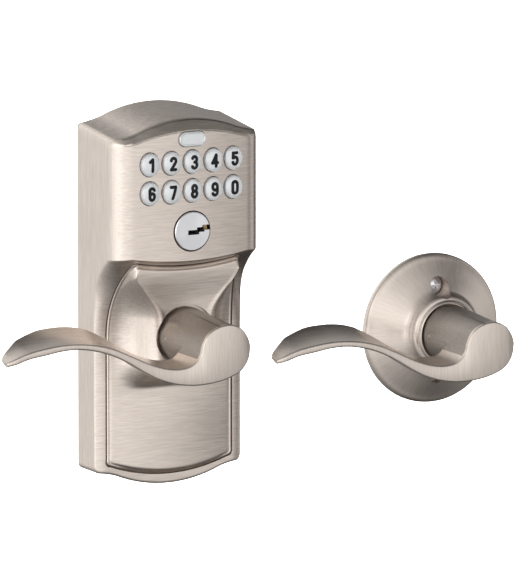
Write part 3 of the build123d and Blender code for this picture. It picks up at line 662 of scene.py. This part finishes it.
def housing():
    """The outside, hollowed from behind, with bosses, openings and the recess for the hub."""
    obj = casing_mesh()
    half = HALF_WIDTH - WALL
    spots = [half * math.sin(math.pi / 2 * t / 20) for t in range(-20, 21)]
    low, high, rim = [], [], []
    for x in spots:
        outer = x * HALF_WIDTH / half
        top = min(arch_height(outer, TOP_Z, 1), arch_height(x, TOP_Z, 1)) - WALL
        bottom = max(arch_height(outer, BOTTOM_Z, -1), arch_height(x, BOTTOM_Z, -1)) + WALL
        face = face_depth(x) - 1.6 - rounding(half - abs(x), 5.4)
        low.append((x, 0.0, 14.5, bottom, 60.0))
        high.append((x, 0.5, min(35.5, face), 37.5, top - 3.6))
        rim.append((x, 0.2, 3.0, bottom, top))
    boolean(obj, column_solid("low_space", low), "DIFFERENCE")
    boolean(obj, column_solid("high_space", high), "DIFFERENCE")
    boolean(obj, column_solid("rim_space", rim), "DIFFERENCE")
    posts = [(oval(2.9, 2.9, 40), x, z, 2.7, front + 0.6) for x, z, front in BOSS_PLACES]
    boolean(obj, rod_group("bosses", posts), "UNION")
    holes = [(oval(1.5, 1.5, 32), x, z, 0.5, 12.0) for x, z, _ in BOSS_PLACES]
    holes += [(oval(KEY_HALF[0] + 0.35, KEY_HALF[1] + 0.35), x, z, 30, 45) for _, x, z in key_places()]
    holes.append((pill(BADGE_SIZE[0] + 0.6, BADGE_SIZE[1] + 0.6), 0, BADGE_Z, 30, 45))
    holes.append((oval(CYL_FACE_R + 0.5, CYL_FACE_R + 0.5, 96), 0, CYL_Z, 30, 45))
    holes.append((oval(DRUM_R, DRUM_R, 96), 0, 0, 10, 45))
    boolean(obj, rod_group("openings", holes), "DIFFERENCE")
    recess = [(oval(RECESS_R, RECESS_R, 120), 0, 0, PAD_DEPTH - 1.4, 45)]
    boolean(obj, rod_group("recess", recess), "DIFFERENCE")
    tidy_mesh(obj, 38)
    paint_groove_shade(obj)
    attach(obj, "lock")
    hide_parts("exterior_housing")


housing()


# ---- keys and digits ---------------------------------------------------------------------
# A key's upper edge and rounded top: (share of its outline, height above the keypad face).
KEY_EDGE = (1.0, 0.9)
KEY_ROUND = [(0.985, 1.2), (0.95, 1.48), (0.89, 1.72), (0.8, 1.94), (0.66, 2.14), (0.48, 2.3), (0.26, 2.4)]
KEY_TOP = 2.43
FLANGE_BACK, FLANGE_FRONT = 34.65, 35.2
POCKET_FLOOR = 35.4          # pocket behind each key, over the membrane's rubber dome
KEY_POCKET_R, BADGE_POCKET_R = 2.1, 1.9
STROKE = 0.62                # half the width of a numeral's stroke


def key_height(x, z):
    """Height of a key's dome above the keypad face at x, z from the key's middle."""
    r = math.hypot(x / KEY_HALF[0], z / KEY_HALF[1])
    scale, height = zip(*([(0.0, KEY_TOP)] + KEY_ROUND[::-1] + [KEY_EDGE]))
    return float(np.interp(r, scale, height))


def capped(name, outlines, depths, material):
    """Closed solid through matching outlines at given depths, with both ends filled."""
    n = len(outlines[0])
    verts = [(x * MM, -d * MM, z * MM) for ring, d in zip(outlines, depths) for x, z in ring]
    faces = [tuple(range(n)), tuple(range(len(verts) - n, len(verts)))]
    for j in range(len(outlines) - 1):
        for i in range(n):
            k = (i + 1) % n
            faces.append((j * n + i, j * n + k, j * n + n + k, j * n + n + i))
    obj = add_mesh(name, verts, faces, material)
    tidy_mesh(obj, 35)
    return obj


def key_button(label, x, z):
    """A domed oval key with its flange and the pocket over the rubber dome."""
    levels = [KEY_EDGE] + KEY_ROUND + [(0.06, KEY_TOP)]
    sizes = [(KEY_HALF[0] + 0.3, KEY_HALF[1] + 0.4)] * 2 + [KEY_HALF]
    sizes += [(KEY_HALF[0] * k, KEY_HALF[1] * k) for k, _ in levels]
    outlines = [[(x + u, z + w) for u, w in oval(a, b, 72)()] for a, b in sizes]
    depths = [FLANGE_BACK, FLANGE_FRONT, FLANGE_FRONT] + [face_depth(x) + h for _, h in levels]
    obj = capped("cap_" + label, outlines, depths, key_cap)
    boolean(obj, rod("pocket", KEY_POCKET_R, (x, -30, z), (x, -POCKET_FLOOR, z), 40), "DIFFERENCE")
    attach(obj, "key_" + label)
    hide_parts("key_" + label)


# The button's rim and field: (growth of its outline, height above the keypad face).
BADGE_ROUND = [(0.0, 0.7), (-0.15, 1.0), (-0.4, 1.15), (-0.65, 1.1), (-0.85, 0.85), (-1.2, 0.8), (-2.4, 0.95)]


def badge():
    """Blank program button: a pill with a raised rim around a shallow field."""
    rims = [(0.3, FLANGE_BACK), (0.3, FLANGE_FRONT), (0.0, FLANGE_FRONT)]
    rims += [(g, FACE_DEPTH + h) for g, h in BADGE_ROUND]
    outlines = [[(u, BADGE_Z + w) for u, w in pill(BADGE_SIZE[0] + 2 * g, BADGE_SIZE[1] + 2 * g)()]
                for g, _ in rims]
    obj = capped("program_cap", outlines, [d for _, d in rims], key_cap)
    pocket = rod("pocket", BADGE_POCKET_R, (0, -30, BADGE_Z), (0, -POCKET_FLOOR, BADGE_Z), 40)
    boolean(obj, pocket, "DIFFERENCE")
    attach(obj, "program_button")
    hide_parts("program_button")


def bow(cx, cz, rx, rz, start, end, steps=20):
    """Points along an elliptical arc, angles in degrees."""
    angles = np.radians(np.linspace(start, end, steps))
    return [(cx + rx * math.cos(a), cz + rz * math.sin(a)) for a in angles]


# Centre lines of plain condensed numerals, millimetres from the middle of a key.
NUMERALS = {
    "0": [bow(0, 1.2, 0.98, 1.0, 0, 180) + bow(0, -1.2, 0.98, 1.0, 180, 360) + [(0.98, 1.2)]],
    "1": [[(-0.8, 1.3), (0.3, 2.2), (0.3, -2.2)]],
    "2": [bow(0, 1.15, 0.98, 1.05, 170, -25) + [(-0.95, -2.15), (1.0, -2.15)]],
    "3": [bow(0, 1.15, 0.92, 1.05, 155, -90), bow(0, -1.05, 1.0, 1.15, 90, -155)],
    "4": [[(0.5, -2.2), (0.5, 2.1), (-1.1, -0.9), (1.15, -0.9)]],
    "5": [[(0.9, 2.15), (-0.75, 2.15), (-0.88, 0.3)] + bow(0, -0.8, 1.0, 1.4, 128, -155)],
    "6": [bow(0, -0.95, 0.98, 1.25, 0, 360, 36), [(-0.98, -0.95)] + bow(0, 1.2, 0.98, 1.0, 180, 20)],
    "7": [[(-1.0, 2.15), (1.0, 2.15), (-0.3, -2.2)]],
    "8": [bow(0, 1.12, 0.86, 1.08, 0, 360, 36), bow(0, -1.1, 1.0, 1.12, 0, 360, 36)],
    "9": [bow(0, 0.95, 0.98, 1.25, 0, 360, 36), [(0.98, 0.95)] + bow(0, -1.2, 0.98, 1.0, 360, 200)],
}
INK_CELL = 0.075             # grid that a numeral is cut from
NUMERAL_SIZE = 1.12
INK_PROUD, INK_SUNK = 0.04, -0.25


def stroke_distance(label, points):
    """Distance from each point to the numeral's centre lines."""
    best = np.full(len(points), 99.0)
    for path in NUMERALS[label]:
        for a, b in zip(path, path[1:]):
            a, b = np.array(a), np.array(b)
            run = b - a
            t = np.clip(((points - a) @ run) / max(run @ run, 1e-9), 0, 1)
            best = np.minimum(best, np.linalg.norm(points - a - t[:, None] * run, axis=1))
    return best


def digit(label, x, z):
    """A black numeral printed on the dome of its key, as a thin closed solid."""
    xs = np.arange(-1.8, 1.81, INK_CELL)
    zs = np.arange(-3.0, 3.01, INK_CELL)
    points = np.array([(u, w) for w in zs for u in xs])
    near = stroke_distance(label, points)
    nudge = 0.01
    slope = [stroke_distance(label, points + step) - near for step in ((nudge, 0), (0, nudge))]
    slope = np.stack(slope, 1) / nudge
    inside = (near < STROKE).reshape(len(zs), len(xs))
    cells = [(j, i) for j in range(len(zs) - 1) for i in range(len(xs) - 1)
             if inside[j:j + 2, i:i + 2].all()]
    corners = {}
    for j, i in cells:
        for a, b in ((j, i), (j, i + 1), (j + 1, i + 1), (j + 1, i)):
            corners.setdefault((a, b), 0)
            corners[a, b] += 1
    index = {corner: k for k, corner in enumerate(corners)}
    face = face_depth(x)
    verts = []
    for proud in (INK_PROUD, INK_SUNK):
        for (a, b), count in corners.items():
            k = a * len(xs) + b
            u, w = points[k]
            if count < 4:   # a border point moves out onto the stroke's true edge
                u, w = points[k] + slope[k] * (STROKE - near[k])
            u, w = u * NUMERAL_SIZE, w * NUMERAL_SIZE
            verts.append(((x + u) * MM, -(face + key_height(u, w) + proud) * MM, (z + w) * MM))
    n = len(corners)
    faces, edges = [], {}
    for j, i in cells:
        ring = [index[c] for c in ((j, i), (j, i + 1), (j + 1, i + 1), (j + 1, i))]
        faces += [tuple(ring), tuple(k + n for k in reversed(ring))]
        for a, b in zip(ring, ring[1:] + ring[:1]):
            edges[frozenset((a, b))] = edges.get(frozenset((a, b)), []) + [(a, b)]
    faces += [(b, a, a + n, b + n) for pairs in edges.values() if len(pairs) == 1 for a, b in pairs]
    obj = add_mesh("digit_" + label, verts, faces, ink)
    tidy_mesh(obj, 40)
    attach(obj, "key_" + label)


badge()
for label, x, z in key_places():
    key_button(label, x, z)
    digit(label, x, z)


# ---- levers ------------------------------------------------------------------------------
# Upper and lower edge of the lever's front face, in matching pairs from the tip to the hub's
# right side, millimetres from the lever axis (x, z).
LEVER_PAIRS = [
    ((-102.9, 3.0), (-102.5, 1.2)), ((-99.2, 4.6), (-98.2, 2.2)), ((-93.5, 6.4), (-92.5, 3.8)),
    ((-85.5, 7.8), (-85.0, 4.8)), ((-77.0, 8.6), (-77.0, 5.9)), ((-69.0, 8.4), (-69.0, 5.9)),
    ((-60.8, 7.2), (-60.5, 4.3)), ((-52.6, 4.8), (-53.0, 1.7)), ((-44.4, 1.1), (-46.0, -1.9)),
    ((-36.2, -2.8), (-39.0, -6.2)), ((-28.5, -5.4), (-32.0, -9.9)), ((-21.4, -6.2), (-24.0, -12.6)),
    ((-15.9, -5.0), (-15.8, -13.9)), ((-12.3, -1.6), (-8.0, -13.8)), ((-10.9, 3.1), (-1.4, -12.8)),
    ((-8.2, 7.5), (3.4, -11.3)), ((-3.4, 10.1), (6.8, -9.6)), ((2.4, 10.7), (9.2, -7.1)),
    ((7.6, 8.3), (10.6, -4.2)), ((10.4, 4.2), (11.1, -1.2)), ((11.2, 1.3), (11.25, 0.4)),
]
# By x: the blade's width behind the front face, how far its back edge stands above its front edge,
# the hollow of its top and the thickness of its back edge.
WIDTH_AT = [(-104.3, 3.5), (-101.6, 8.5), (-92, 15.0), (-80, 21.0), (-68, 25.2), (-57, 26.8),
            (-45, 25.4), (-30, 21.6), (-16, 19.6), (12, 19.6)]
RISE_AT = [(-104, 0.0), (-100, 1.5), (-92, 3.0), (-80, 3.4), (-70, 3.3), (-60, 3.9), (-53, 4.2), (-45, 3.5),
           (-40, 2.8), (-33, 1.8), (-28, 1.3), (-16, 0.0), (12, 0.0)]
DISH_AT = [(-104, 0.0), (-92, 0.7), (-75, 1.5), (-60, 1.6), (-40, 1.0), (-24, 0.2), (-16, 0), (12, 0)]
THIN_AT = [(-104, 0.8), (-92, 1.3), (-60, 2.0), (-45, 2.6), (-34, 4.5), (-24, 6.4), (-15, 9.0), (12, 12.0)]
LEVER_LENGTH = 37.6          # from the front face to the back of the hub
EDGE_R = 0.75                # rounding of the blade's front edges
BACK_R = 0.6                 # and of its back edge
BELLY = 0.54                 # fullness of the blade's underside
NOSE_X, NOSE_LENGTH, NOSE_DROP = -99.0, 5.2, 2.2
QUARTER = [math.pi / 2 * k / 4 for k in range(5)]
HUB_PROFILE = [(0, -0.8), (9.9, -0.8), (10.65, -1.6), (12.75, -LEVER_LENGTH + 0.5), (12.35, -LEVER_LENGTH),
               (9.7, -LEVER_LENGTH), (9.7, -LEVER_LENGTH + 19.4), (0, -LEVER_LENGTH + 19.4)]
# Painted shade on the hub's sides reaches this far from the axis and starts this far behind the front face.
HUB_SHADE_R, HUB_SHADE_FROM = 13.3, 1.3


def at(table, x):
    """Value at x, read from a table of (x, value)."""
    xs, ys = zip(*table)
    return float(np.interp(x, xs, ys))


def lever_blade(name):
    """The front plate and blade as a loft of rounded sections along the front outline."""
    stations, across = 150, 18
    tops = flow([p[0] for p in LEVER_PAIRS], stations)
    lows = flow([p[1] for p in LEVER_PAIRS], stations)
    rings = []
    for top, low in zip(tops, lows):
        span = np.linalg.norm(top - low)
        up = (top - low) / max(span, 1e-6)
        front = NOSE_DROP * max(0.0, (NOSE_X - top[0]) / NOSE_LENGTH) ** 2
        width, rise, dish = (at(table, top[0]) for table in (WIDTH_AT, RISE_AT, DISH_AT))
        thin = min(at(THIN_AT, (top[0] + low[0]) / 2), span)
        edge = min(EDGE_R, span * 0.42)
        start = front + edge
        run = width - start - BACK_R
        ring = [(start - edge * math.cos(a), top - up * edge * (1 - math.sin(a))) for a in QUARTER]
        for k in range(1, across + 1):
            t = k / across
            ring.append((start + run * t, top + np.array((0, rise * t - 4 * dish * t * (1 - t)))))
        back_top = top + np.array((0, rise))
        for k in range(1, 6):
            a = math.pi * k / 6
            drop = thin / 2 * (1 - math.cos(a))
            ring.append((width - BACK_R + BACK_R * math.sin(a), back_top - up * drop))
        back_low = back_top - up * thin
        for k in range(across + 1):
            t = 1 - k / across
            belly = BELLY * 4 * t * (1 - t) * min(1.0, span / 3) if span > 1 else 0.0
            ring.append((start + run * t, low * (1 - t) + back_low * t - up * belly))
        ring += [(start - edge * math.sin(a), low + up * edge * (1 - math.cos(a))) for a in QUARTER]
        rings.append([Vector((p[0] * MM, y * MM, p[1] * MM)) for y, p in ring])
    n = len(rings[0])
    faces = []
    for i in range(stations - 1):
        for j in range(n):
            m = (j + 1) % n
            faces.append((i * n + j, (i + 1) * n + j, (i + 1) * n + m, i * n + m))
    faces.append(tuple(range(n)))
    faces.append(tuple(range((stations - 1) * n, stations * n)))
    obj = add_mesh(name, [v for ring in rings for v in ring], faces, face_nickel)
    tidy_mesh(obj)
    return obj


def lever(name, node, body, x, front, z):
    """A whole lever: blade and front plate joined to the tapered hub, with bore and catch hole."""
    obj = lever_blade(name)
    boolean(obj, lathe("hub", HUB_PROFILE, face_nickel), "UNION")
    hole = rod("hole", 1.05, (-14.5, LEVER_LENGTH - 5.0, 0.8), (-8, LEVER_LENGTH - 5.0, 0.8), 24)
    boolean(obj, hole, "DIFFERENCE")
    tidy_mesh(obj, 40)
    # Painted shade: the hub's side faces take the darker copy of the nickel.
    obj.data.materials.append(hub_painted_shade)
    for face in obj.data.polygons:
        along, back, up = (c / MM for c in face.center)
        near = math.hypot(along, up) < HUB_SHADE_R and back > HUB_SHADE_FROM
        if near and abs(face.normal.y) < 0.5:
            face.material_index = len(obj.data.materials) - 1
    obj.data.transform(Matrix.Translation((x * MM, -front * MM, z * MM)))
    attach(obj, body)
    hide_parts(node)


lever("outside_lever", "exterior_lever", "exterior_lever", 0, EXT_FRONT, 0)
lever("inside_lever", "interior_lever", "interior_lever", INT_X, INT_FRONT, INT_Z)


# ---- rose --------------------------------------------------------------------------------
# Profiles of (radius, depth): the edge at the door, the dished face, the collar and its lip, the
# bore's floor, and the hollow behind.
ROSE_EDGE = [(0, 0.05), (32.1, 0.05), (32.5, 0.5), (32.5, 1.6), (32.35, 2.5)]
ROSE_FACE = [(32.0, 3.0), (31.4, 3.5), (29.4, 4.5), (25.0, 7.0), (20.6, 9.5), (17.9, 11.3), (16.5, 13.0)]
ROSE_COLLAR = [(16.0, 14.6), (15.8, 15.9), (15.1, 16.6), (14.5, 16.8)]
ROSE_LIP = [(14.2, 17.0), (14.1, 17.8), (13.8, 18.45), (13.45, 18.65), (13.25, 18.4), (13.2, 17.6)]
ROSE_FLOOR = [(13.2, 17.4), (0, 17.4)]
ROSE_HOLLOW = [(0, -1), (30.6, -1), (30.6, 2.2), (25.0, 5.2), (20.6, 7.4), (15.2, 9.6), (13.2, 12.0),
               (13.2, 13.6), (0, 13.6)]
ROSE_BORE_R, WELL_R, SLEEVE_R = 11.3, 4.3, 5.2
BOLT_R = 19.05               # from the lever's axis to each mounting screw


def rose():
    """The round rose with its stepped collar, hollow back and two screw wells."""
    profile = ROSE_EDGE + [tuple(p) for points, count in ((ROSE_FACE, 44), (ROSE_COLLAR, 10), (ROSE_LIP, 14))
                           for p in flow(points, count)] + ROSE_FLOOR
    obj = lathe("rose_shell", profile, rose_nickel, 220)
    hollow = lathe("hollow", ROSE_HOLLOW, steel, 120)
    sleeves = [(oval(SLEEVE_R, SLEEVE_R), 0, z, 1.85, 20) for z in (-BOLT_R, BOLT_R)]
    wells = [(oval(WELL_R, WELL_R), 0, z, 1.8, 20) for z in (-BOLT_R, BOLT_R)]
    boolean(hollow, rod_group("sleeves", sleeves), "DIFFERENCE")
    boolean(obj, hollow, "DIFFERENCE")
    boolean(obj, rod_group("bore", [(oval(ROSE_BORE_R, ROSE_BORE_R, 96), 0, 0, -2, 25)]), "DIFFERENCE")
    boolean(obj, rod_group("wells", wells), "DIFFERENCE")
    obj.data.transform(Matrix.Translation((INT_X * MM, 0, INT_Z * MM)))
    tidy_mesh(obj, 32)
    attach(obj, "lock")
    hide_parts("interior_rose")


rose()


# ---- floor, light, camera ----------------------------------------------------------------
def softbox(name, place, size, power, colour=(1, 1, 1)):
    """Rectangular soft light aimed at the lock."""
    data = bpy.data.lights.new(name, "AREA")
    data.shape = "RECTANGLE"
    data.size, data.size_y = size
    data.energy = power
    data.color = colour
    obj = bpy.data.objects.new(name, data)
    bpy.context.scene.collection.objects.link(obj)
    obj.location = place
    obj.rotation_mode = "QUATERNION"
    obj.rotation_quaternion = (Vector(LIGHT_AIM) - Vector(place)).to_track_quat("-Z", "Y")
    obj.visible_camera = False


# Brightness of the surroundings by direction: around the lock, in degrees from straight in front
# and positive to the right, and above it, by the direction's upward share.
AROUND = [(-180, 0.62), (-165, 0.85), (-152, 1.12), (-120, 1.2), (-90, 1.5), (-60, 1.7), (-36, 1.65),
          (-18, 1.5), (4, 1.5), (18, 1.28), (29, 1.05), (44, 0.50), (60, 0.22), (70, 0.55), (80, 1.0),
          (92, 0.75), (103, 0.06), (132, 0.06), (142, 0.3), (152, 0.54), (166, 0.6), (180, 0.62)]
ABOVE = [(-1.0, 0.12), (-0.5, 0.45), (-0.2, 0.92), (0.1, 1.0), (0.35, 0.86), (0.6, 0.5), (1.0, 0.25)]
BRIGHTEST = 1.62


def ramp_node(tree, stops, scale):
    """Colour ramp through grey stops of (place, value), stored as shares of scale."""
    node = tree.nodes.new("ShaderNodeValToRGB")
    stops = [(p, v / scale) for p, v in stops]
    for i, (place, value) in enumerate(stops):
        stop = node.color_ramp.elements[i] if i < 2 else node.color_ramp.elements.new(place)
        stop.position = place
        stop.color = (value, value, value, 1)
    return node


def surroundings():
    """World light made of the two brightness tables, one times the other."""
    world = bpy.data.worlds.new("studio")
    bpy.context.scene.world = world
    world.use_nodes = True
    tree = world.node_tree
    back = tree.nodes["Background"]
    coords = tree.nodes.new("ShaderNodeTexCoord")
    split = tree.nodes.new("ShaderNodeSeparateXYZ")
    tree.links.new(coords.outputs["Generated"], split.inputs["Vector"])
    front = tree.nodes.new("ShaderNodeMath")
    front.operation = "MULTIPLY"
    front.inputs[1].default_value = -1
    tree.links.new(split.outputs["Y"], front.inputs[0])
    angle = tree.nodes.new("ShaderNodeMath")
    angle.operation = "ARCTAN2"
    tree.links.new(split.outputs["X"], angle.inputs[0])
    tree.links.new(front.outputs["Value"], angle.inputs[1])
    ramps = []
    for source, low, high, stops, scale in (
            (angle.outputs["Value"], -math.pi, math.pi, [((a + 180) / 360, v) for a, v in AROUND], BRIGHTEST),
            (split.outputs["Z"], -1, 1, [((z + 1) / 2, v) for z, v in ABOVE], 1.0)):
        fit = tree.nodes.new("ShaderNodeMapRange")
        fit.inputs["From Min"].default_value = low
        fit.inputs["From Max"].default_value = high
        tree.links.new(source, fit.inputs["Value"])
        node = ramp_node(tree, stops, scale)
        tree.links.new(fit.outputs["Result"], node.inputs["Fac"])
        ramps.append(node.outputs["Color"])
    both = tree.nodes.new("ShaderNodeVectorMath")
    both.operation = "MULTIPLY"
    tree.links.new(ramps[0], both.inputs[0])
    tree.links.new(ramps[1], both.inputs[1])
    tree.links.new(both.outputs["Vector"], back.inputs["Color"])
    back.inputs["Strength"].default_value = BRIGHTEST


FLOOR_Z, FLOOR_R, FLOOR_TURN, WALL_TOP = -0.35, 7.5, 0.9, 9.0
FLOOR_GLOW = 0.9
LIGHT_AIM = (0.04, -0.03, 0.01)


def studio():
    """Pale floor that curves up all round, two broad soft lights and the surroundings."""
    curve = [(0.05, FLOOR_Z), (FLOOR_R, FLOOR_Z)]
    curve += [(FLOOR_R + FLOOR_TURN * math.sin(a), FLOOR_Z + FLOOR_TURN * (1 - math.cos(a)))
              for a in np.radians(range(10, 91, 10))]
    curve += [(FLOOR_R + FLOOR_TURN, WALL_TOP)]
    count = 64
    turns = [2 * math.pi * k / count for k in range(count)]
    verts = [(r * math.cos(a), r * math.sin(a), z) for r, z in curve for a in turns]
    faces = []
    for i in range(len(curve) - 1):
        low, high = i * count, (i + 1) * count
        for k in range(count):
            m = (k + 1) % count
            faces.append((low + k, low + m, high + m, high + k))
    faces.append(tuple(range(count)))
    paper = moulded("pale_paper", (0.93, 0.93, 0.93), 0.85, grit=30.0, spread=0.01)
    glow = paper.node_tree.nodes["Principled BSDF"]
    glow.inputs["Emission Color"].default_value = (1, 1, 1, 1)
    glow.inputs["Emission Strength"].default_value = FLOOR_GLOW
    floor = add_mesh("floor", verts, faces, paper)
    for face in floor.data.polygons:
        face.use_smooth = True
    floor.visible_glossy = False
    softbox("key_left", (-2.6, -0.7, 0.9), (2.6, 2.6), 15, (1.0, 0.985, 0.96))
    softbox("top_back", (-0.6, 2.0, 1.7), (2.6, 1.6), 9)
    surroundings()


VIEW_AZIMUTH, VIEW_ELEVATION = -28.0, 10.0       # degrees
VIEW_DISTANCE, VIEW_LENS = 5.0, 724.0
VIEW_TARGET = (38.2, -30.0, 15.1)


def camera():
    """Long lens from the left and slightly above."""
    data = bpy.data.cameras.new("camera")
    data.lens = VIEW_LENS
    data.sensor_width = 36.0
    obj = bpy.data.objects.new("camera", data)
    bpy.context.scene.collection.objects.link(obj)
    azimuth, elevation = math.radians(VIEW_AZIMUTH), math.radians(VIEW_ELEVATION)
    away = Vector((math.sin(azimuth) * math.cos(elevation), -math.cos(azimuth) * math.cos(elevation),
                   math.sin(elevation)))
    obj.location = Vector(VIEW_TARGET) * MM + away * VIEW_DISTANCE
    obj.rotation_mode = "QUATERNION"
    obj.rotation_quaternion = (-away).to_track_quat("-Z", "Y")
    bpy.context.scene.camera = obj


studio()
camera()
bpy.context.scene.view_settings.view_transform = "Standard"
